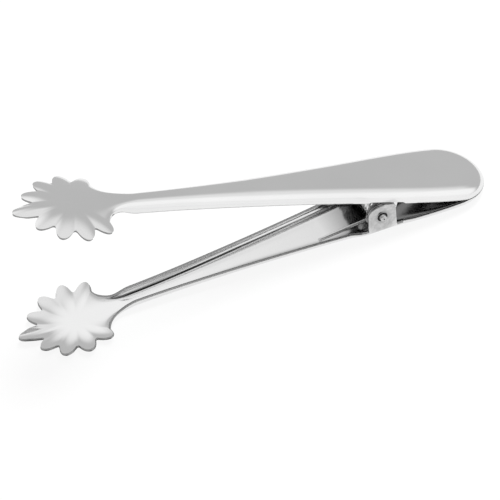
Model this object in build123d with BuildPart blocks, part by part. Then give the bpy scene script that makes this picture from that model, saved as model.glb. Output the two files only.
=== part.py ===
"""Claw ice tongs: two pressed steel arms on one riveted hinge, opened by a torsion spring.

Frame, in millimetres: the lower arm's flat outer face lies in Z = 0, +X runs from the tail to
the claw along the lower arm and +Y runs along the hinge pin. The origin is below the middle of
the lower arm. The upper arm stands open, with the two tails all but touching.
"""

from build123d import *
from math import acos, atan2, cos, degrees, radians, sin, sqrt, tan
import os

# Pressed arms
arm_length = 182.5  # tail end to the tip of the longest petal
sheet = 1.0  # thickness of the sheet
channel_depth = 3.9  # outer face to the rim of the channel
crown_radius = 3.0  # outside radius between the outer face and the flank
tail_half_width = 14.8  # half width of the handle, and the radius of its round end
hinge_half_width = 12.1  # half width of the channel beside the pin
shank_half_width = 8.3  # half width of the tapering blade at shank_from_tail
blade_half_width = 5.6  # half width of the blade at blade_from_tail
neck_half_width = 4.3  # half width where the claw begins
shank_from_tail = 80.0
blade_from_tail = 112.0
neck_from_tail = 143.0
flare_radius = 9.0  # plan radius between the neck and the first petal
flare_angle = 75.0
rim_blend = 12.0  # side-view radius where the rim steps down to the claw

# Claw
bowl_from_tip = 21.0  # centre of the claw to the tip of the longest petal
bowl_depth = 2.85  # outer face to the rim of the claw
bowl_floor_radius = 7.5  # flat middle of the claw
bowl_rim_radius = 13.7  # cone of the claw at its rim, where the valleys end
petal_pitch = 30.5  # angle between petals
petals_each_side = 4  # petals on each side of the longest one
petal_reach = 17.6  # claw centre to the tips of the short petals
petal_radius = 3.6  # radius of the round back of a short petal
petal_centre = 10.6  # claw centre to the widest place of every petal
petal_lift = 0.45  # underside of the petals over the flat middle
tip_petal_radius = 4.1  # radius of the round back of the longest petal

# Hinge
pivot_from_tail = 46.2
pivot_height = 9.55  # pin axis over the outer face of either arm
half_open = 9.2  # either arm's outer face to the middle plane, at rest
tail_gap = 0.3  # between the two tails, at rest
ear_half_width = 5.5  # half length of the ears along the arm
ear_end_radius = 5.4  # round end of the lower ears about the pin
inner_ear_end_radius = 5.2  # round end of the upper ears about the pin
ear_face = 12.6  # outer face of the lower ears, from the middle
ear_running_gap = 0.15  # between the lower ears and the upper ears inside them
ear_end_wall = 0.8  # wall at both ends of the bulge that carries an ear
lower_bulge_radius = 3.0  # outside radius under the bulge of the lower arm
upper_bulge_radius = 2.2  # outside radius under the bulge of the upper arm
joggle_start = 2.3  # height at which the upper ears start to step inwards
joggle_end = 3.9  # height at which they run straight again

# Rivet
pin_radius = 1.5
pin_running_gap = 0.05  # radial, in the ears
head_radius = 2.0
head_height = 1.4
head_flat_radius = 1.15
head_dimple_radius = 0.6
head_dimple_depth = 0.5
head_seat_gap = 0.02  # under each head

# Torsion spring
wire_diameter = 1.3
coil_radius = 3.2  # axis of the coil to the middle of the wire
coil_pitch = 1.5
coil_turns = 7
coil_front = 8.0  # middle of the first turn, towards +Y
lower_leg_reach = 22.6  # pin axis to the lower foot, along the lower arm
lower_leg_side = 5.2  # lower foot from the middle, towards +Y
upper_leg_reach = 21.0
upper_leg_side = -0.4  # upper foot from the middle
bend_overlap = 0.25  # length that each leg shares with the end of the coil
leg_seat_gap = 0.1  # between the feet and the sheet they press on

# Derived places. An arm is drawn flat on Z = 0 with its tail at tail_x.
tail_x = -arm_length / 2
tip_x = arm_length / 2
pivot_x = tail_x + pivot_from_tail
neck_x = tail_x + neck_from_tail
bowl_x = tip_x - bowl_from_tip
tall = channel_depth + 2 * pivot_height
middle_plane = Plane(
    origin=(pivot_x, 0, pivot_height),
    x_dir=(cos(radians(half_open)), 0, sin(radians(half_open))),
    z_dir=(-sin(radians(half_open)), 0, cos(radians(half_open))),
)
upper_ear_face = ear_face - sheet - ear_running_gap


def petal_form(inset, reach, radius):
    """One petal along +X from the claw's centre, as a body of revolution on its own axis."""
    axis_height = petal_lift + radius
    rim_chord = sqrt(1 - ((axis_height - bowl_depth) / radius) ** 2)
    half_length = (reach - petal_centre) / rim_chord
    with BuildPart() as petal:
        with BuildSketch(Plane.XZ):
            with Locations((petal_centre, axis_height)):
                Ellipse(half_length - inset, radius - inset)
            with Locations((petal_centre, axis_height)):
                Rectangle(
                    2 * half_length, radius, align=(Align.CENTER, Align.MIN), mode=Mode.SUBTRACT
                )
        revolve(axis=Axis((petal_centre, 0, axis_height), (1, 0, 0)))
    return petal.part


def pressed_form(inset):
    """The body inside the pressed channel and claw: inset 0 is its outer side, a sheet its inner."""
    short_petal = petal_form(inset, petal_reach, petal_radius)
    long_petal = petal_form(inset, bowl_from_tip, tip_petal_radius)
    cone_angle = atan2(bowl_depth, bowl_rim_radius - bowl_floor_radius)
    floor_radius = bowl_floor_radius - inset * tan(cone_angle / 2)
    cone_run = (bowl_rim_radius - bowl_floor_radius) / bowl_depth
    rim_radius = floor_radius + cone_run * (tall - inset)
    with BuildPart() as form:
        # Channel from the round tail to the neck, with the flare into the first petals
        with BuildSketch(Plane.XY.offset(inset)):
            with BuildLine():
                end_radius = tail_half_width - inset
                CenterArc((tail_x + tail_half_width, 0), end_radius, 90, 90)
                Spline(
                    (tail_x + tail_half_width, end_radius),
                    (pivot_x, hinge_half_width - inset),
                    (tail_x + shank_from_tail, shank_half_width - inset),
                    (tail_x + blade_from_tail, blade_half_width - inset),
                    (neck_x, neck_half_width - inset),
                    tangents=((1, 0), (1, 0)),
                )
                flare = JernArc(
                    (neck_x, neck_half_width - inset), (1, 0), flare_radius + inset, flare_angle
                )
                Line(flare @ 1, (bowl_x, 0))
                mirror(about=Plane.XZ)
            make_face()
        extrude(amount=channel_depth - inset)
        side_edges = form.edges().group_by(Axis.Z)[0].sort_by(Axis.X)[:-2]
        fillet(side_edges, radius=crown_radius - inset)
        # Claw: a flat-floored dish with the petals around it
        with BuildSketch(Plane.XZ):
            with BuildLine():
                Polyline(
                    (bowl_x, inset),
                    (bowl_x + floor_radius, inset),
                    (bowl_x + rim_radius, tall),
                    (bowl_x, tall),
                    close=True,
                )
            make_face()
        revolve(axis=Axis((bowl_x, 0, 0), (0, 0, 1)))
        with Locations((bowl_x, 0, 0)):
            add(long_petal)
        for number in range(1, petals_each_side + 1):
            for side_sign in (1, -1):
                with Locations(Location((bowl_x, 0, 0), (0, 0, side_sign * number * petal_pitch))):
                    add(short_petal)
    return form.part


def ear_form(steps, bottom_radius, inset, end_wall):
    """The bulge beside the pin with the ears over it: a U along the arm, given by its steps."""
    length = 2 * (ear_half_width - end_wall)
    with BuildPart() as form:
        with BuildSketch(Plane.YZ.offset(pivot_x - length / 2)) as section:
            with BuildLine():
                side = [(width - inset, max(height, inset)) for width, height in steps]
                Polyline((0, inset), *side, (0, side[-1][1]), close=True)
            make_face()
            mirror(about=Plane.YZ)
            fillet(section.vertices().group_by(Axis.Y)[0].sort_by(Axis.X)[0], radius=bottom_radius - inset)
            fillet(section.vertices().group_by(Axis.Y)[0].sort_by(Axis.X)[-1], radius=bottom_radius - inset)
        extrude(amount=length)
    return form.part


def pressed_arm(steps, bottom_radius, kept):
    """A whole arm, flat on Z = 0: channel and claw, the ears, the trimmed rim and the pin's bore."""
    outside = pressed_form(0)
    inside = pressed_form(sheet)
    ear_block = ear_form(steps, bottom_radius, 0, 0)
    ear_middle = ear_form(steps, bottom_radius, 0, ear_end_wall)
    ear_pocket = ear_form(steps, bottom_radius, sheet, ear_end_wall)
    with BuildPart() as arm:
        add(outside)
        add(ear_block)
        add(inside, mode=Mode.SUBTRACT)
        add(ear_middle)
        add(ear_pocket, mode=Mode.SUBTRACT)
        with BuildSketch(Plane.XY.offset(channel_depth)):
            with Locations((pivot_x, 0)):
                Rectangle(2 * ear_half_width, 2 * (steps[-1][0] - sheet))
        extrude(amount=tall, mode=Mode.SUBTRACT)
        add(kept, mode=Mode.INTERSECT)
        with BuildSketch(Plane.XZ):
            with Locations((pivot_x, pivot_height)):
                Circle(pin_radius + pin_running_gap)
        extrude(amount=2 * ear_face, both=True, mode=Mode.SUBTRACT)
    return arm.part


def side_view(ear_outline):
    """What is kept of an arm in side view: the trimmed rim, and the ear over it."""
    slope = tan(radians(half_open))
    tail_rim = pivot_height - pivot_from_tail * slope - tail_gap / 2 / cos(radians(half_open))
    rim_start_x = tail_x + (channel_depth - tail_rim) / slope
    step_x = neck_x - rim_blend / 4
    step_run = 2 * (channel_depth - bowl_depth) + rim_blend / 3
    with BuildPart() as view:
        with BuildSketch(Plane.XZ) as rim_outline:
            with BuildLine():
                Polyline(
                    (tail_x - sheet, -sheet),
                    (tip_x + sheet, -sheet),
                    (tip_x + sheet, bowl_depth),
                    (step_x + step_run, bowl_depth),
                    (step_x, channel_depth),
                    (rim_start_x, channel_depth),
                    (tail_x - sheet, tail_rim - sheet * slope),
                    close=True,
                )
            make_face()
            step_corners = rim_outline.vertices().filter_by_position(
                Axis.X, step_x - sheet, step_x + step_run + sheet
            )
            fillet(step_corners, radius=rim_blend)
        extrude(amount=2 * tail_half_width, both=True)
        with BuildSketch(Plane.XZ):
            add(ear_outline)
        extrude(amount=2 * tail_half_width, both=True)
    return view.part


def round_ear(end_radius):
    """Side view of an ear: a strip that ends in a half circle about the pin."""
    with BuildSketch() as ear:
        with Locations((pivot_x, pivot_height / 2)):
            Rectangle(2 * ear_half_width, pivot_height)
        with Locations((pivot_x, pivot_height)):
            Circle(min(end_radius, ear_half_width))
    return ear.sketch


lower_strip = round_ear(ear_end_radius)
with BuildSketch() as lower_ear:
    # The free edge is cut parallel to the open upper arm on the tail side of the pin
    add(lower_strip)
    with BuildLine():
        cut_angle = radians(2 * half_open)
        edge_x = pivot_x - ear_end_radius * sin(cut_angle)
        edge_z = pivot_height + ear_end_radius * cos(cut_angle)
        corner_drop = (edge_x - pivot_x + ear_half_width) * tan(cut_angle)
        Polyline(
            (pivot_x, pivot_height),
            (edge_x, edge_z),
            (pivot_x - ear_half_width, edge_z - corner_drop),
            (pivot_x - ear_half_width, pivot_height),
            close=True,
        )
    make_face()
    cut_corner = lower_ear.vertices().group_by(Axis.X)[0].sort_by(Axis.Y)[-1]
    fillet(cut_corner, radius=sheet)

# Lower arm
lower_flat = pressed_arm(
    ((ear_face, 0), (ear_face, tall)), lower_bulge_radius, side_view(lower_ear.sketch)
)
with BuildPart() as lower_arm:
    add(lower_flat)
lower_arm.part.label = "lower_arm"

# Upper arm, drawn flat like the lower one and mirrored over the middle plane
upper_flat = pressed_arm(
    (
        (ear_face, 0),
        (ear_face, joggle_start),
        (upper_ear_face, joggle_end),
        (upper_ear_face, tall),
    ),
    upper_bulge_radius,
    side_view(round_ear(inner_ear_end_radius)),
)
with BuildPart() as upper_arm:
    add(mirror(upper_flat, about=middle_plane, mode=Mode.PRIVATE))
upper_arm.part.label = "upper_arm"

# Rivet through all four ears
head_seat = ear_face + head_seat_gap
head_top = head_seat + head_height
with BuildPart() as pivot_rivet:
    with BuildSketch(Plane.XY.offset(pivot_height)):
        with BuildLine():
            Line((pivot_x, -head_top), (pivot_x, head_top - head_dimple_depth))
            Line((pivot_x, head_top - head_dimple_depth), (pivot_x + head_dimple_radius, head_top))
            Line((pivot_x + head_dimple_radius, head_top), (pivot_x + head_flat_radius, head_top))
            ThreePointArc(
                (pivot_x + head_flat_radius, head_top),
                (
                    pivot_x + 0.25 * head_flat_radius + 0.75 * head_radius,
                    head_seat + 0.55 * head_height,
                ),
                (pivot_x + head_radius, head_seat),
            )
            Polyline(
                (pivot_x + head_radius, head_seat),
                (pivot_x + pin_radius, head_seat),
                (pivot_x + pin_radius, -head_seat),
                (pivot_x + head_radius, -head_seat),
            )
            ThreePointArc(
                (pivot_x + head_radius, -head_seat),
                (
                    pivot_x + 0.25 * head_flat_radius + 0.75 * head_radius,
                    -head_seat - 0.55 * head_height,
                ),
                (pivot_x + head_flat_radius, -head_top),
            )
            Line((pivot_x + head_flat_radius, -head_top), (pivot_x, -head_top))
        make_face()
    revolve(axis=Axis((pivot_x, 0, pivot_height), (0, 1, 0)))
pivot_rivet.part.label = "pivot_rivet"

# Torsion spring: a close coil around the rivet with one leg on each arm
wire_radius = wire_diameter / 2
foot_drop = pivot_height - sheet - leg_seat_gap - wire_radius
lower_foot_angle = -degrees(atan2(foot_drop, lower_leg_reach))
upper_foot_angle = 2 * half_open + degrees(atan2(foot_drop, upper_leg_reach))
lower_foot_distance = sqrt(foot_drop**2 + lower_leg_reach**2)
upper_foot_distance = sqrt(foot_drop**2 + upper_leg_reach**2)
coil_start_angle = lower_foot_angle - degrees(acos(coil_radius / lower_foot_distance))
coil_end_angle = upper_foot_angle + degrees(acos(coil_radius / upper_foot_distance)) - 360
coil_length = coil_pitch * (coil_turns + (coil_start_angle - coil_end_angle) / 360)


def round_pin(distance, angle, side):
    """A point at a distance and an angle about the pin axis."""
    return (
        pivot_x + distance * cos(radians(angle)),
        side,
        pivot_height + distance * sin(radians(angle)),
    )


coil_plane = Plane(
    origin=(pivot_x, coil_front, pivot_height),
    x_dir=(cos(radians(coil_start_angle)), 0, sin(radians(coil_start_angle))),
    z_dir=(0, -1, 0),
)
lower_foot = round_pin(lower_foot_distance, lower_foot_angle, lower_leg_side)
upper_foot = round_pin(upper_foot_distance, upper_foot_angle, upper_leg_side)
coil = coil_plane.location * Helix(coil_pitch, coil_length, coil_radius, lefthand=True)
with BuildPart() as torsion_spring:
    with BuildLine() as coil_path:
        add(coil)
    with BuildSketch(Plane(origin=coil_path.line @ 0, z_dir=coil_path.line % 0)):
        Circle(wire_radius)
    sweep(path=coil_path.line, is_frenet=True)
    for coil_end, foot in ((coil_path.line @ 0, lower_foot), (coil_path.line @ 1, upper_foot)):
        leg_direction = (Vector(*foot) - coil_end).normalized()
        leg_start = coil_end - leg_direction * bend_overlap
        with BuildLine() as leg_path:
            Line(leg_start, foot)
        with BuildSketch(Plane(origin=leg_start, z_dir=leg_direction)):
            Circle(wire_radius)
        sweep(path=leg_path.line)
torsion_spring.part.label = "torsion_spring"

os.makedirs("parts", exist_ok=True)
export_step(lower_arm.part, "parts/lower_arm.step")
export_step(upper_arm.part, "parts/upper_arm.step")
export_step(pivot_rivet.part, "parts/pivot_rivet.step")
export_step(torsion_spring.part, "parts/torsion_spring.step")
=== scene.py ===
"""Claw ice tongs in polished steel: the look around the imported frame."""

import math

import bmesh
import bpy
import numpy as np
from mathutils import Matrix, Vector


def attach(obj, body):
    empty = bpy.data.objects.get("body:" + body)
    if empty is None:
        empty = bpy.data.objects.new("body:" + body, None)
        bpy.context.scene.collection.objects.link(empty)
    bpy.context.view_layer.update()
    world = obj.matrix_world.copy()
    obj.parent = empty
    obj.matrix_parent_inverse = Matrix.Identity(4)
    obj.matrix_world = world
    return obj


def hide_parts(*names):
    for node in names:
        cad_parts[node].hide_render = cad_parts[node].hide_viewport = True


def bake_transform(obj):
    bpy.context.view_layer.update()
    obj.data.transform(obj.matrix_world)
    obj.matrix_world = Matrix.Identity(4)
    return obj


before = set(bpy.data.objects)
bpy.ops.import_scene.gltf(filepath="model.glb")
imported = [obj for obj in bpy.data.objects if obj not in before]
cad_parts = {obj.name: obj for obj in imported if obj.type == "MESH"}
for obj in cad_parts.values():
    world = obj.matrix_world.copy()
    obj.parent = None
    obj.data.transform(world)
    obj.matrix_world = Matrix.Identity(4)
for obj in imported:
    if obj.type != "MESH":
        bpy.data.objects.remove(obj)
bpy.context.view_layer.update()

# Sizes that follow the CAD part, in metres
PIVOT_HEIGHT = 0.00955
PIVOT = Vector((-0.04505, 0.0, PIVOT_HEIGHT))
HALF_OPEN = math.radians(9.2)
WIRE_RADIUS = 0.00065
COIL_RADIUS = 0.0032
COIL_PITCH = 0.0015
COIL_TURNS = 7
COIL_FRONT = 0.0080
LOWER_LEG = (0.0226, 0.0052)  # reach along the arm, place along the pin
UPPER_LEG = (0.0210, -0.0004)
CAD_SHEET = 0.0010
FOOT_GAP = 0.0001
FOOT_DROP = PIVOT_HEIGHT - CAD_SHEET - FOOT_GAP - WIRE_RADIUS
HEAD_SEAT = 0.01262  # from the middle plane
HEAD_TOP = 0.01402


def link(obj):
    bpy.context.scene.collection.objects.link(obj)
    return obj


def mesh_object(name, verts, faces, smooth=True):
    """A mesh object from points and faces."""
    mesh = bpy.data.meshes.new(name)
    mesh.from_pydata([tuple(v) for v in verts], [], faces)
    mesh.validate()
    if smooth:
        mesh.polygons.foreach_set("use_smooth", [True] * len(mesh.polygons))
    mesh.update()
    return link(bpy.data.objects.new(name, mesh))


def outward(obj):
    """Turns the faces of a closed mesh outwards."""
    bm = bmesh.new()
    bm.from_mesh(obj.data)
    bmesh.ops.recalc_face_normals(bm, faces=bm.faces)
    bm.to_mesh(obj.data)
    bm.free()
    return obj


def ring_faces(rings, sides):
    """Quads between closed rings of points that follow one another."""
    faces = []
    for i in range(rings - 1):
        for k in range(sides):
            a = i * sides + k
            b = i * sides + (k + 1) % sides
            faces.append((a, b, b + sides, a + sides))
    return faces


def grey(value):
    return (value, value, value, 1)


class Nodes:
    """Short calls for building a node tree."""

    def __init__(self, tree):
        self.tree = tree
        tree.nodes.clear()

    def add(self, kind, inputs=None, **values):
        node = self.tree.nodes.new(kind)
        for key, value in values.items():
            setattr(node, key, value)
        for key, value in (inputs or {}).items():
            if isinstance(value, bpy.types.NodeSocket):
                self.tree.links.new(value, node.inputs[key])
            else:
                node.inputs[key].default_value = value
        return node

    def math(self, operation, a, b=0.0, clamp=False):
        return self.add("ShaderNodeMath", {0: a, 1: b}, operation=operation, use_clamp=clamp).outputs[0]

    def vector(self, operation, a, b=(0, 0, 0)):
        return self.add("ShaderNodeVectorMath", {0: a, 1: b}, operation=operation).outputs

    def ramp(self, value, low, high, to_low=0.0, to_high=1.0):
        """A value carried from one range to another and held at the ends."""
        return self.add("ShaderNodeMapRange", {0: value, 1: low, 2: high, 3: to_low, 4: to_high}).outputs[0]

    def noise(self, place, scale, detail, roughness=0.5):
        inputs = {"Vector": place, "Scale": scale, "Detail": detail, "Roughness": roughness}
        return self.add("ShaderNodeTexNoise", inputs).outputs[0]

    def attribute(self, name):
        return self.add("ShaderNodeAttribute", attribute_name=name).outputs["Fac"]

    def mix_colour(self, share, under, over):
        return self.add("ShaderNodeMix", {0: share, 6: under, 7: over}, data_type="RGBA").outputs[2]

    def mix_value(self, share, under, over):
        return self.add("ShaderNodeMix", {0: share, 2: under, 3: over}, data_type="FLOAT").outputs[0]


def around_pin(n, place):
    """Distance from the pin's axis and place along it, as sockets."""
    off = n.vector("SUBTRACT", place, PIVOT)[0]
    away = n.vector("LENGTH", n.vector("MULTIPLY", off, (1, 0, 1))[0])["Value"]
    return away, n.add("ShaderNodeSeparateXYZ", {0: off}).outputs[1]


def plate_marks_and_shade(n, place):
    """Mottled press and rolling marks on the flat ears beside the rivet, and painted shade in a ring round
    the rivet's head, as a share.
    """
    away, side = around_pin(n, place)
    near = n.ramp(away, 0.0085, 0.0055)
    outside = n.ramp(n.math("ABSOLUTE", side), 0.0119, 0.0123)
    # painted shade: a darker ring on the plate round the rivet's head
    ring = n.ramp(away, 0.0034, 0.0021, 0.0, 0.45)
    marks = n.ramp(n.noise(place, 620.0, 5.0, 0.7), 0.35, 0.65, 0.55, 0.95)
    return n.math("MULTIPLY", n.math("MULTIPLY", near, outside), n.math("ADD", marks, ring), clamp=True)


def groove_painted_shade(n, place):
    """Painted shade in the groove round the pin's tip, as a share."""
    away, front = around_pin(n, place)
    past_tip = n.ramp(away, 0.00118, 0.00126)
    within_lip = n.ramp(away, 0.00204, 0.00198)
    low = n.ramp(front, HEAD_SEAT + 0.0005, HEAD_SEAT + 0.0003)
    return n.math("MULTIPLY", n.math("MULTIPLY", past_tip, within_lip), low)


def painted_inside_shade(n, place, cloud):
    """Painted shade on the inside of the channel at and behind the hinge, as a share."""
    along = n.add("ShaderNodeSeparateXYZ", {0: place}).outputs[0]
    behind = n.ramp(along, -0.026, -0.036)
    cloudy_shade = n.ramp(cloud, 0.3, 0.7, 0.75, 1.0)
    return n.math("MULTIPLY", n.math("MULTIPLY", n.attribute("inside"), behind), cloudy_shade)


def steel(
    name, base, dark, rough, scratch, grain, stretch=(1.0, 1.0, 1.0), plate=None, edge=None, groove=None
):
    """Polished steel: fine drawn lines, smudges in the gloss and a little tone variation.

    base and dark are the two tones and rough the range of the roughness. plate is the tone of the ears' press
    marks with the painted shade round the rivet, edge the tone of the painted shade on the sheared edges,
    which also brings the painted shade inside the channel, and groove the tone of the painted shade in the
    rivet's groove.
    """
    material = bpy.data.materials.new(name)
    material.use_nodes = True
    n = Nodes(material.node_tree)
    place = n.add("ShaderNodeTexCoord").outputs["Object"]
    drawn = n.add("ShaderNodeMapping", {"Vector": place, "Scale": stretch}).outputs[0]
    lines = n.noise(drawn, grain, 4.0, 0.6)
    smudge = n.noise(place, 95.0, 3.0, 0.55)
    cloud = n.noise(place, 34.0, 2.0)
    colour = n.mix_colour(n.ramp(cloud, 0.3, 0.7), grey(dark), grey(base))
    gloss = n.ramp(smudge, 0.3, 0.75, *rough)
    if plate:
        colour = n.mix_colour(plate_marks_and_shade(n, place), colour, grey(plate))
    if groove:
        # painted shade: the groove round the pin's tip darkened nearly to black, and made rougher
        groove_shade = groove_painted_shade(n, place)
        colour = n.mix_colour(groove_shade, colour, grey(groove))
        gloss = n.mix_value(groove_shade, gloss, GROOVE_ROUGHNESS)
    if edge:
        # painted shade: the inside of the channel darker at and behind the hinge
        colour = n.mix_colour(painted_inside_shade(n, place, cloud), colour, grey(INSIDE_SHADE_TONE))
        # painted shade: the rounded sheet edges darker, as well as rougher
        rough_shaded_edge = n.attribute("edge_wear_and_shade")
        colour = n.mix_colour(rough_shaded_edge, colour, grey(edge))
        gloss = n.mix_value(rough_shaded_edge, gloss, EDGE_ROUGHNESS)
    relief = {"Height": lines, "Strength": scratch, "Distance": SCRATCH_DEPTH}
    bump = n.add("ShaderNodeBump", relief).outputs[0]
    shader = n.add(
        "ShaderNodeBsdfPrincipled",
        {"Base Color": colour, "Roughness": gloss, "Metallic": 1.0, "Normal": bump},
    )
    n.add("ShaderNodeOutputMaterial", {"Surface": shader.outputs[0]})
    return material


# Tone of the painted shade inside the channel
INSIDE_SHADE_TONE = 0.36
EDGE_ROUGHNESS = 0.36
GROOVE_ROUGHNESS = 0.45
SCRATCH_DEPTH = 0.00002
ARM_STEEL = steel(
    "arm_steel",
    0.82,
    0.79,
    (0.10, 0.10 + 0.05),
    0.12,
    900.0,
    stretch=(1.0, 12.0, 12.0),
    # plate: press marks with painted shade round the rivet; edge: painted shade on the sheared edges and
    # inside the channel
    plate=0.42,
    edge=0.34,
)
# groove: painted shade in the groove round the pin's tip
RIVET_STEEL = steel("rivet_steel", 0.60, 0.46, (0.10, 0.10 + 0.08), 0.25, 2400.0, groove=0.03)
SPRING_STEEL = steel("spring_steel", 0.84, 0.76, (0.10, 0.10 + 0.06), 0.15, 2200.0)


# Pressed arms, drawn flat like the CAD part: millimetres, outer face on z = 0, pin axis at x = 0
TAIL_X = -46.2
TAIL_HALF_WIDTH = 14.8
TAIL_CENTRE_X = TAIL_X + TAIL_HALF_WIDTH
ARM_LENGTH = 182.5
TIP_REACH = 21.0  # bowl's centre to the tip of the longest petal
SHORT_REACH = 17.6  # and to the tips of the others
NECK_X = TAIL_X + 143.0
NECK_HALF_WIDTH = 4.3
BOWL_X = TAIL_X + ARM_LENGTH - TIP_REACH
JOIN_X = NECK_X - 4.0  # where the channel's columns end and the claw's begin
HALF_WIDTHS = (
    (TAIL_CENTRE_X, TAIL_HALF_WIDTH),
    (0.0, 12.1),
    (TAIL_X + 80.0, 8.3),
    (TAIL_X + 112.0, 5.6),
    (NECK_X, NECK_HALF_WIDTH),
)
SHEET = 0.95
CHANNEL_DEPTH = 3.9
CROWN_POWER = 2.8
CROWN_REACH = 6.4
TAIL_GAP = 0.15  # half the room between the two tails

PIN_HEIGHT = 9.55
EAR_HALF = 5.5
EAR_RADIUS = 5.45
EAR_POWER = 2.6
EAR_CORNER_X = -4.5
LOWER_EAR_RISE = 5.4
UPPER_EAR_RISE = 5.2
LOWER_EAR_FACE = 12.6
UPPER_EAR_FACE = 11.4
UPPER_STEP_FROM = 3.3  # height at which the upper flank steps in to its ears
UPPER_SWELL = 0.2
SWELL_HEIGHTS = (0.2, 3.3)
BULGE_START = EAR_HALF + 0.1
BULGE_END = 12.5
STEP_END = 8.0

BOWL_RIM = 13.7
BOWL_DEPTH = 2.85
BOWL_START = 0.18
BOWL_POWER = 2.3
BOWL_SHARE = 0.62
CLAW_RIM = 2.05  # outer skin at the rim, with the sheet's thickness above it
PLEAT = 0.38
PETAL_CENTRE = 10.6
PETAL_LIFT = 0.45
PETALS = [(0.0, TIP_REACH, 4.1)] + [(30.5 * k, SHORT_REACH, 3.6) for k in (1, 2, 3, 4)]
FLARE_RADIUS = 9.0
NECK_TURN = math.radians(135)

# Rows from the spine to the rim, and columns along the arm
FLAT_ROWS, CROWN_ROWS, STEP_ROWS, EAR_ROWS = 16, 16, 6, 14
TAIL_COLUMNS = 61
EAR_COLUMNS = 61
NECK_COLUMNS = 41
CLAW_COLUMNS = 261
FINE_X = 13.0  # the columns lie closer between -FINE_X and FINE_X
EAR_SLOT = 0.04
OUTLINE_STEPS = 2401
BLUR_REACH = 36
BLUR_WIDTH = 9.0
EDGE_STEPS = 6
EDGE_OUT = 0.22


def clamped_spline(points):
    """A cubic through the points with level ends, as a function of x."""
    xs = np.array([p[0] for p in points])
    ys = np.array([p[1] for p in points])
    h = np.diff(xs)
    slope = np.diff(ys) / h
    size = len(xs)
    system = np.zeros((size, size))
    right_side = np.zeros(size)
    system[0, :2] = (2 * h[0], h[0])
    right_side[0] = 6 * slope[0]
    system[-1, -2:] = (h[-1], 2 * h[-1])
    right_side[-1] = -6 * slope[-1]
    for i in range(1, size - 1):
        system[i, i - 1 : i + 2] = (h[i - 1], 2 * (h[i - 1] + h[i]), h[i])
        right_side[i] = 6 * (slope[i] - slope[i - 1])
    bend = np.linalg.solve(system, right_side)

    def value(x):
        x = np.clip(np.asarray(x, float), xs[0], xs[-1])
        i = np.clip(np.searchsorted(xs, x) - 1, 0, size - 2)
        a = x - xs[i]
        b = xs[i + 1] - x
        return (
            (bend[i] * b**3 + bend[i + 1] * a**3) / (6 * h[i])
            + (ys[i] / h[i] - bend[i] * h[i] / 6) * b
            + (ys[i + 1] / h[i] - bend[i + 1] * h[i] / 6) * a
        )

    return value


half_width = clamped_spline(HALF_WIDTHS)


def crown_across(width):
    """How far the crown reaches in from the outline."""
    return np.minimum(0.93 * width, CROWN_REACH)


def smoothstep(x, low, high):
    t = np.clip((x - low) / (high - low), 0, 1)
    return t * t * (3 - 2 * t)


def outline_reach(angle):
    """Plan distance from the bowl's centre to the rim: petals, the dish between them and the flare."""
    reach = np.full(len(angle), BOWL_RIM - 0.3)
    for degrees, tip, round_back in PETALS:
        axis = PETAL_LIFT + round_back
        half_across = math.sqrt(round_back**2 - (axis - BOWL_DEPTH) ** 2)
        half_along = tip - PETAL_CENTRE
        turn = angle - math.radians(degrees)
        along, across = np.cos(turn) / half_along, np.sin(turn) / half_across
        shift = PETAL_CENTRE / half_along
        square = along**2 + across**2
        inside = (along * shift) ** 2 - square * (shift**2 - 1)
        far = (along * shift + np.sqrt(np.clip(inside, 0, None))) / square
        reach = np.maximum(reach, np.where((inside > 0) & (along > 0), far, 0))
    steps = np.linspace(6.0, 26.0, 1200)
    x = BOWL_X + steps[None, :] * np.cos(angle)[:, None]
    y = steps[None, :] * np.sin(angle)[:, None]
    flare_y = FLARE_RADIUS + NECK_HALF_WIDTH
    in_flare = np.hypot(np.clip(x - NECK_X, 0, None), y - flare_y) < FLARE_RADIUS
    out = np.where(x < NECK_X, y > half_width(x), in_flare)
    # The flare ends at a slanting line beside the last petal
    out |= y * 0.667 + (x - BOWL_X) * 0.745 > 0.6
    flare = steps[np.where(out.any(axis=1), np.argmax(out, axis=1), 0)]
    return np.maximum(reach, np.where(angle > math.radians(125), flare, 0))


def crown_rise(angle):
    """Height of the crown as a share of its rise, from level to upright."""
    return 1 - np.sqrt(np.clip(1 - np.sin(angle) ** CROWN_POWER, 0, 1))


def tail_trim(x):
    """The plane that trims the tail, so that the two tails all but meet."""
    return PIN_HEIGHT + x * math.tan(HALF_OPEN) - TAIL_GAP / math.cos(HALF_OPEN)


def rim_height(x):
    """Rim over the outer face: the tail is trimmed by the middle plane, the claw is shallower."""
    claw = CHANNEL_DEPTH - (CHANNEL_DEPTH - CLAW_RIM) * smoothstep(x, JOIN_X, NECK_X + 4.5)
    return np.minimum(tail_trim(x), claw)


def ear_round(x):
    """The blunt round end of an ear, as a share of its rise."""
    return np.clip(1 - np.abs(x / EAR_RADIUS) ** EAR_POWER, 0, 1) ** (1 / EAR_POWER)


def lower_ear_top(x):
    """Round towards the claws, cut square to the upper arm towards the tail."""
    cut = 2 * HALF_OPEN
    edge_x = -LOWER_EAR_RISE * math.sin(cut)
    edge = LOWER_EAR_RISE * math.cos(cut) + (x - edge_x) * math.tan(cut)
    corner = 1 - np.sqrt(np.clip(1 - np.clip(EAR_CORNER_X - x, 0, 1) ** 2, 0, 1))
    return PIN_HEIGHT + np.where(x < edge_x, edge - corner, LOWER_EAR_RISE * ear_round(x))


def upper_ear_top(x):
    return PIN_HEIGHT + UPPER_EAR_RISE * ear_round(x)


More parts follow.
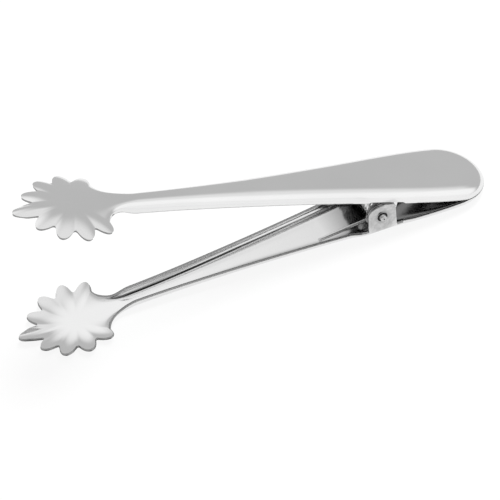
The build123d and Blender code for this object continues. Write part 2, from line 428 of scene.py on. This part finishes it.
def channel_columns(step_from, ear_face, swell, ear_top):
    """Columns of points from the spine to the rim, round the tail and along the channel."""
    turn = np.radians(np.linspace(180, 90, TAIL_COLUMNS))
    spine = np.concatenate(
        [
            np.full(TAIL_COLUMNS, TAIL_CENTRE_X),
            np.linspace(TAIL_CENTRE_X, -FINE_X, 34)[1:],
            np.linspace(-FINE_X, -EAR_HALF - EAR_SLOT, 32)[1:],
            EAR_HALF * np.sin(np.linspace(-math.pi / 2, math.pi / 2, EAR_COLUMNS)),
            np.linspace(EAR_HALF + EAR_SLOT, FINE_X, 32),
            np.linspace(FINE_X, JOIN_X, 142)[1:],
        ]
    )
    turn = np.concatenate([turn, np.full(len(spine) - TAIL_COLUMNS, math.pi / 2)])
    width = half_width(spine)
    across = crown_across(width)
    bulge = 1 - smoothstep(np.abs(spine), BULGE_START, BULGE_END)
    push = swell(width) * bulge
    near_ear = 1 - smoothstep(np.abs(spine), BULGE_START, STEP_END)
    crown_limit = CHANNEL_DEPTH + (step_from - CHANNEL_DEPTH) * bulge
    # How far round the crown goes before it meets the rim
    low, high = np.zeros(len(spine)), np.full(len(spine), math.pi / 2)
    for _ in range(30):
        mid = (low + high) / 2
        reach = width - across * (1 - np.sin(mid))
        limit = np.minimum(rim_height(spine + reach * np.cos(turn)), crown_limit)
        over = CHANNEL_DEPTH * crown_rise(mid) > limit
        high = np.where(over, mid, high)
        low = np.where(over, low, mid)
    rows = []
    for i in range(FLAT_ROWS + 1):
        rows.append(((width - across) * i / FLAT_ROWS, np.zeros(len(spine))))
    for i in range(1, CROWN_ROWS + 1):
        angle = high * i / CROWN_ROWS
        z = CHANNEL_DEPTH * crown_rise(angle)
        rows.append((width - across * (1 - np.sin(angle)) + push * smoothstep(z, *SWELL_HEIGHTS), z))
    crown_reach, crown_top = rows[-1]
    rim = np.where(bulge > 0, CHANNEL_DEPTH, crown_top)
    for i in range(1, STEP_ROWS + 1):
        t = i / STEP_ROWS
        inward = (ear_face - crown_reach) * near_ear * t * t * (3 - 2 * t)
        rows.append((crown_reach + inward, crown_top + (rim - crown_top) * t))
    step_reach = rows[-1][0]
    top = np.where(np.abs(spine) <= EAR_HALF + 1e-6, ear_top(spine), rim)
    for i in range(1, EAR_ROWS + 1):
        rows.append((step_reach, rim + (top - rim) * i / EAR_ROWS))
    grid = np.zeros((len(spine), len(rows), 3))
    for j, (reach, z) in enumerate(rows):
        grid[:, j, 0] = spine + reach * np.cos(turn)
        grid[:, j, 1] = reach * np.sin(turn)
        grid[:, j, 2] = z
    return grid


def blur(values):
    """A short running mean over values that carry their own ends."""
    window = np.exp(-((np.arange(-BLUR_REACH, BLUR_REACH + 1) / BLUR_WIDTH) ** 2))
    return np.convolve(values, window / window.sum(), "valid")


def claw_columns():
    """Columns from the spine and then the bowl's centre to the rim of the claw."""
    neck_width = float(half_width(JOIN_X))
    first = math.atan2(neck_width, JOIN_X - BOWL_X)
    fine = np.linspace(-first, first, OUTLINE_STEPS)
    reach = outline_reach(np.abs(fine))
    neck_reach = math.hypot(neck_width, JOIN_X - BOWL_X)
    reach = np.where(np.abs(fine) > first - 0.03, np.minimum(reach, neck_reach), reach)
    before = 2 * reach[0] - reach[BLUR_REACH:0:-1]
    after = 2 * reach[-1] - reach[-2 : -BLUR_REACH - 2 : -1]
    reach = blur(np.concatenate([before, reach, after]))
    pressed = np.where(reach < SHORT_REACH, SHORT_REACH * (reach / SHORT_REACH) ** PLEAT, reach)
    pressed = blur(np.pad(pressed, BLUR_REACH, "edge"))
    angle = np.concatenate(
        [np.linspace(first, NECK_TURN, NECK_COLUMNS), np.linspace(NECK_TURN, 0, CLAW_COLUMNS)[1:]]
    )
    end = np.interp(angle, fine, reach)
    pleat = end / np.interp(angle, fine, pressed)
    end_x, end_y = BOWL_X + end * np.cos(angle), end * np.sin(angle)
    spine = np.concatenate([np.linspace(JOIN_X, BOWL_X, NECK_COLUMNS), np.full(CLAW_COLUMNS - 1, BOWL_X)])
    length = np.hypot(end_x - spine, end_y)
    across = crown_across(neck_width)
    start_share = across / neck_width
    # The channel's section turns into the bowl's over the first columns
    column = np.arange(len(angle))
    share = start_share + (BOWL_SHARE - start_share) * smoothstep(column, 0, 50)
    claw = smoothstep(column, 0, 56)
    rim = rim_height(end_x)
    grid = np.zeros((len(angle), 1 + FLAT_ROWS + CROWN_ROWS + STEP_ROWS + EAR_ROWS, 3))
    for j in range(grid.shape[1]):
        if j <= FLAT_ROWS:
            part = (1 - share) * j / FLAT_ROWS
        else:
            angle_j = math.pi / 2 * min(j - FLAT_ROWS, CROWN_ROWS) / CROWN_ROWS
            part = 1 - share * (1 - math.sin(angle_j))
        inside = np.clip(1 - (1 - part) * length / across, 0, 1)
        crown = 1 - np.sqrt(np.clip(1 - inside**CROWN_POWER, 0, 1))
        bowl = np.clip((part * pleat - BOWL_START) / (1 - BOWL_START), 0, None) ** BOWL_POWER
        grid[:, j, 0] = spine + (end_x - spine) * part
        grid[:, j, 1] = end_y * part
        grid[:, j, 2] = rim * (crown * (1 - claw) + bowl * claw)
    return grid


def weld(points, faces):
    """Merges points that coincide and drops the faces that this leaves without area."""
    keys = np.round(points * 2e4).astype(np.int64)
    _, first, back = np.unique(keys, axis=0, return_index=True, return_inverse=True)
    back = back.reshape(-1)
    kept, seen = [], set()
    for face in back[faces]:
        ring = [int(v) for i, v in enumerate(face) if v != face[i - 1]]
        if len(ring) < 3 or len(set(ring)) < len(ring):
            continue
        key = tuple(sorted(ring))
        if key not in seen:
            seen.add(key)
            kept.append(ring)
    return points[first], kept, back, first


def skin_normals(skin, faces, top_point):
    """Unit normals of the outer skin, on the inside of the sheet."""
    normals = np.zeros_like(skin)
    for ring in faces:
        a, b, c = skin[ring[0]], skin[ring[1]], skin[ring[2]]
        d = skin[ring[-1]]
        area = np.cross(c - a, d - b) if len(ring) == 4 else np.cross(b - a, c - a)
        normals[ring] += area
    normals[np.abs(skin[:, 1]) < 1e-6, 1] = 0
    normals /= np.maximum(np.linalg.norm(normals, axis=1, keepdims=True), 1e-12)
    return -normals if normals[top_point][2] < 0 else normals


def pressed_shell(step_from, ear_face, swell, ear_top):
    """One arm as points, faces and marks: outer skin, inner skin and a rounded rim, both halves."""
    grid = np.concatenate([channel_columns(step_from, ear_face, swell, ear_top), claw_columns()[1:]])
    columns, rows = grid.shape[:2]
    index = np.arange(columns * rows).reshape(columns, rows)
    quads = np.stack([index[:-1, :-1], index[1:, :-1], index[1:, 1:], index[:-1, 1:]], -1).reshape(-1, 4)
    skin, faces, back, _ = weld(grid.reshape(-1, 3), quads)
    normals = skin_normals(skin, faces, back[index[columns // 3, 2]])
    inner = skin + normals * SHEET
    rim = back[index[:, -1]]
    rim = rim[np.concatenate([[True], rim[1:] != rim[:-1]])]
    along = np.zeros((len(rim), 3))
    along[1:-1] = skin[rim[2:]] - skin[rim[:-2]]
    along[0] = (0, 1, 0)
    along[-1] = (0, -1, 0)
    along /= np.linalg.norm(along, axis=1, keepdims=True)
    out = np.cross(along, normals[rim])
    # The way out is away from the inside of the sheet, whichever way the rim runs
    if out[len(out) // 4][1] < 0:
        out = -out
    points = [skin, inner]
    for k in range(1, EDGE_STEPS):
        turn = math.pi * k / EDGE_STEPS
        lift = SHEET * (0.5 - 0.5 * math.cos(turn))
        push = EDGE_OUT * math.sin(turn) ** 0.7
        points.append(skin[rim] + normals[rim] * lift + out * push)
    count = len(skin)
    all_faces = [list(ring) for ring in faces] + [[v + count for v in reversed(ring)] for ring in faces]
    between = [2 * count + k * len(rim) + np.arange(len(rim)) for k in range(EDGE_STEPS - 1)]
    levels = [rim] + between + [rim + count]
    for low, high in zip(levels[:-1], levels[1:]):
        for i in range(len(rim) - 1):
            all_faces.append([int(low[i]), int(high[i]), int(high[i + 1]), int(low[i + 1])])
    points = np.concatenate(points)
    points[np.abs(points[:, 1]) < 1e-6, 1] = 0
    tail = points[:, 0] < -12
    points[tail, 2] = np.minimum(points[tail, 2], tail_trim(points[tail, 0]))
    # The other half, and marks that the finish uses: rougher edges with painted shade, and painted shade
    # inside the channel
    total = len(points)
    order = np.tile(np.arange(total), 2)
    edge_wear_and_shade = (order >= 2 * count).astype(np.float32)
    inside = ((order >= count) & (order < 2 * count)).astype(np.float32)
    both = np.concatenate([points, points * (1, -1, 1)])
    mirrored = [[v + total for v in reversed(ring)] for ring in all_faces]
    quads = np.array([ring if len(ring) == 4 else ring + [ring[-1]] for ring in all_faces + mirrored])
    points, faces, _, first = weld(both, quads)
    return points, faces, {"edge_wear_and_shade": edge_wear_and_shade[first], "inside": inside[first]}


def arm_object(name, upper):
    """One pressed arm in place. The upper one is mirrored over the plane between the arms."""
    if upper:
        shell = pressed_shell(UPPER_STEP_FROM, UPPER_EAR_FACE, lambda width: UPPER_SWELL, upper_ear_top)
    else:
        shell = pressed_shell(
            CHANNEL_DEPTH, LOWER_EAR_FACE, lambda width: LOWER_EAR_FACE - width, lower_ear_top
        )
    points, faces, marks = shell
    points = points * 0.001 + np.array((PIVOT.x, 0, 0))
    if upper:
        normal = np.array((-math.sin(HALF_OPEN), 0, math.cos(HALF_OPEN)))
        depth = (points - np.array(PIVOT)) @ normal
        points = points - 2 * depth[:, None] * normal
    obj = outward(mesh_object(name, points, faces))
    for key, values in marks.items():
        layer = obj.data.attributes.new(key, "FLOAT", "POINT")
        layer.data.foreach_set("value", values)
    return obj


def paint(obj, material):
    obj.data.materials.clear()
    obj.data.materials.append(material)
    return obj


def coil_point(distance, angle, side):
    return PIVOT + Vector((distance * math.cos(angle), side, distance * math.sin(angle)))


def spring_path():
    """The wire's centre line: lower foot, coil and upper foot."""
    lower_foot_angle = -math.atan2(FOOT_DROP, LOWER_LEG[0])
    upper_foot_angle = 2 * HALF_OPEN + math.atan2(FOOT_DROP, UPPER_LEG[0])
    lower_distance = math.hypot(FOOT_DROP, LOWER_LEG[0])
    upper_distance = math.hypot(FOOT_DROP, UPPER_LEG[0])
    start = lower_foot_angle - math.acos(COIL_RADIUS / lower_distance)
    end = upper_foot_angle + math.acos(COIL_RADIUS / upper_distance) - 2 * math.pi
    turn = 2 * math.pi * COIL_TURNS + start - end
    length = COIL_PITCH * turn / (2 * math.pi)
    steps = COIL_TURNS * 40
    coil = [
        coil_point(COIL_RADIUS, start - turn * i / steps, COIL_FRONT - length * i / steps)
        for i in range(steps + 1)
    ]
    lower_foot = coil_point(lower_distance, lower_foot_angle, LOWER_LEG[1])
    upper_foot = coil_point(upper_distance, upper_foot_angle, UPPER_LEG[1])
    first = [lower_foot.lerp(coil[0], i / 24) for i in range(24)]
    last = [coil[-1].lerp(upper_foot, i / 24) for i in range(1, 25)]
    return first + coil + last


def tube(name, path, radius, sides=20):
    """A round wire along a path, with softly rounded ends."""
    tangents = []
    for i in range(len(path)):
        tangents.append((path[min(i + 1, len(path) - 1)] - path[max(i - 1, 0)]).normalized())
    side = tangents[0].orthogonal().normalized()
    rings = []
    for i, point in enumerate(path):
        side = (side - tangents[i] * side.dot(tangents[i])).normalized()
        rings.append((point, tangents[i], side.copy(), radius))
    cap = [(0.0, 0.35), (0.12, 0.72), (0.3, 0.92)]
    place, tangent, across, _ = rings[0]
    first = [(place + tangent * radius * a, tangent, across, radius * b) for a, b in cap]
    place, tangent, across, _ = rings[-1]
    last = [(place - tangent * radius * a, tangent, across, radius * b) for a, b in reversed(cap)]
    rings = first + rings[1:-1] + last
    verts = []
    for point, tangent, across, size in rings:
        up = tangent.cross(across)
        for k in range(sides):
            angle = 2 * math.pi * k / sides
            verts.append(point + (across * math.cos(angle) + up * math.sin(angle)) * size)
    faces = ring_faces(len(rings), sides)
    faces.append(tuple(reversed(range(sides))))
    faces.append(tuple(range(len(verts) - sides, len(verts))))
    return mesh_object(name, verts, faces)


def lathe(name, profile, centre, sides=64):
    """A closed body of revolution about +Y from (radius, y) points whose ends lie on the axis."""
    verts = []
    for radius, y in profile[1:-1]:
        for k in range(sides):
            angle = 2 * math.pi * k / sides
            verts.append(centre + Vector((radius * math.cos(angle), y, radius * math.sin(angle))))
    rings = len(profile) - 2
    verts.append(centre + Vector((0, profile[0][1], 0)))
    verts.append(centre + Vector((0, profile[-1][1], 0)))
    faces = ring_faces(rings, sides)
    last = (rings - 1) * sides
    for k in range(sides):
        faces.append((len(verts) - 2, (k + 1) % sides, k))
        faces.append((len(verts) - 1, last + k, last + (k + 1) % sides))
    return outward(mesh_object(name, verts, faces))


def rivet_profile():
    """Pin whose dimpled tip stands in a groove in front, and a domed head behind."""
    tip = [
        (0.0, -0.0005),
        (0.0003, -0.00046),
        (0.0005, -0.0002),
        (0.00062, -0.00004),
        (0.00075, 0.0),
        (0.00105, -0.00002),
        (0.00116, -0.00006),
        (0.00122, -0.00018),
    ]
    groove = [
        (0.00124, 0.00014),
        (0.00128, 0.0001),
        (0.00188, 0.0001),
        (0.00196, 0.00016),
        (0.00212, 0.00014),
        (0.00216, 0.00006),
        (0.0020, 0.00002),
        (0.00196, 0.0),
        (0.0015, 0.0),
    ]
    points = [(radius, HEAD_TOP + y) for radius, y in tip] + [(radius, HEAD_SEAT + y) for radius, y in groove]
    points += [(0.0015, -HEAD_SEAT), (0.00196, -HEAD_SEAT), (0.0020, -HEAD_SEAT - 0.00002)]
    for i in range(12, 0, -1):
        angle = math.pi / 2 * i / 12
        points.append((0.00105 + 0.00095 * math.sin(angle), -HEAD_SEAT - 0.0001 - 0.00128 * math.cos(angle)))
    points += [(0.00105, -HEAD_TOP + 0.00002), (0.0006, -HEAD_TOP), (0.0, -HEAD_TOP)]
    return points


for node, body in (("lower_arm", "lower"), ("upper_arm", "upper")):
    paint(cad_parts[node], ARM_STEEL)
    arm = paint(arm_object(body + "_pressing", body == "upper"), ARM_STEEL)
    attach(arm, body)
    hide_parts(node)
for node in ("pivot_rivet", "torsion_spring"):
    paint(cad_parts[node], SPRING_STEEL)

spring = paint(tube("spring_wire", spring_path(), WIRE_RADIUS), SPRING_STEEL)
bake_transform(spring)
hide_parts("torsion_spring")

rivet = paint(lathe("hinge_rivet", rivet_profile(), Vector((PIVOT.x, 0, PIVOT.z))), RIVET_STEEL)
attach(rivet, "lower")
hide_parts("pivot_rivet")

# Floor: white to the camera and in the steel, and it keeps the shadow
FLOOR_HALF = 3
FLOOR_Z = -0.0001
corners = [(x * FLOOR_HALF, y * FLOOR_HALF, FLOOR_Z) for x, y in ((-1, -1), (1, -1), (1, 1), (-1, 1))]
floor = mesh_object("floor", corners, [(0, 1, 2, 3)], smooth=False)
floor_material = bpy.data.materials.new("floor_white")
floor_material.use_nodes = True
n = Nodes(floor_material.node_tree)
rays = n.add("ShaderNodeLightPath")
seen = n.math("MAXIMUM", rays.outputs["Is Camera Ray"], rays.outputs["Is Glossy Ray"])
share = n.math("MULTIPLY", seen, 0.86)
matt = n.add("ShaderNodeBsdfDiffuse", {"Color": grey(0.92)}).outputs[0]
glow = n.add("ShaderNodeEmission", {"Color": grey(1), "Strength": 1.0}).outputs[0]
mixed = n.add("ShaderNodeMixShader", {0: share, 1: matt, 2: glow}).outputs[0]
n.add("ShaderNodeOutputMaterial", {"Surface": mixed})
paint(floor, floor_material)

# World: white to the camera. For the steel, a soft studio with bright panels and a dark front
world = bpy.data.worlds.new("studio")
bpy.context.scene.world = world
world.use_nodes = True
n = Nodes(world.node_tree)
direction = n.add("ShaderNodeTexCoord").outputs["Generated"]


def patch(centre, inner, outer):
    """1 inside a cone about a direction, falling to 0 outside it. Angles in degrees."""
    axis = Vector(centre).normalized()
    dot = n.vector("DOT_PRODUCT", direction, axis)["Value"]
    limits = {1: math.cos(math.radians(outer)), 2: math.cos(math.radians(inner)), 3: 0.0, 4: 1.0}
    return n.add("ShaderNodeMapRange", {0: dot, **limits}, interpolation_type="SMOOTHSTEP").outputs[0]


STUDIO_LEVEL = 0.58
STUDIO_PATCHES = (
    # direction, inner and outer angle, level; a later patch covers an earlier one
    ((-0.40, -0.03, 0.92), 20, 42, 0.92),
    ((0.05, -0.70, 0.71), 6, 26, 1.08),
    ((-0.75, 0.45, 0.50), 18, 38, 1.12),
    ((-0.50, 0.85, 0.06), 16, 27, 1.05),
    ((0.08, 0.72, 0.69), 22, 31, 0.09),
    ((0.15, 0.95, 0.25), 16, 26, 0.13),
    ((-0.18, 0.70, 0.69), 9, 17, 0.01),
)
level = STUDIO_LEVEL
for centre, inner, outer, patch_level in STUDIO_PATCHES:
    level = n.mix_value(patch(centre, inner, outer), level, patch_level)
level = n.mix_value(n.add("ShaderNodeLightPath").outputs["Is Camera Ray"], level, 1.0)
sky = n.add("ShaderNodeCombineColor", {0: level, 1: level, 2: level}).outputs[0]
background = n.add("ShaderNodeBackground", {"Color": sky, "Strength": 1.0})
n.add("ShaderNodeOutputWorld", {"Surface": background.outputs[0]})

LAMP_PLACE = Vector((-0.35, -0.25, 0.9))
lamp = bpy.data.lights.new("key_lamp", "AREA")
lamp.shape = "DISK"
lamp.size = 0.5
lamp.energy = 9.0
key_lamp = link(bpy.data.objects.new("key_lamp", lamp))
key_lamp.location = LAMP_PLACE
key_lamp.rotation_euler = (-LAMP_PLACE).to_track_quat("-Z", "Y").to_euler()
key_lamp.visible_glossy = False

# Camera at the photograph's angle
CAMERA_PLACE = (0.13773, 0.44690, 0.46596)
camera_data = bpy.data.cameras.new("camera")
camera_data.sensor_width = 36.0
camera_data.lens = 130.70
camera_data.clip_start = 0.01
camera = link(bpy.data.objects.new("camera", camera_data))
right = Vector((-0.918015, 0.383318, -0.101563))
up = Vector((-0.338670, -0.624650, 0.703644))
back = right.cross(up).normalized()
turned = Matrix((right, up, back)).transposed().to_4x4()
camera.matrix_world = Matrix.Translation(CAMERA_PLACE) @ turned
bpy.context.scene.camera = camera
bpy.context.scene.view_settings.view_transform = "Standard"
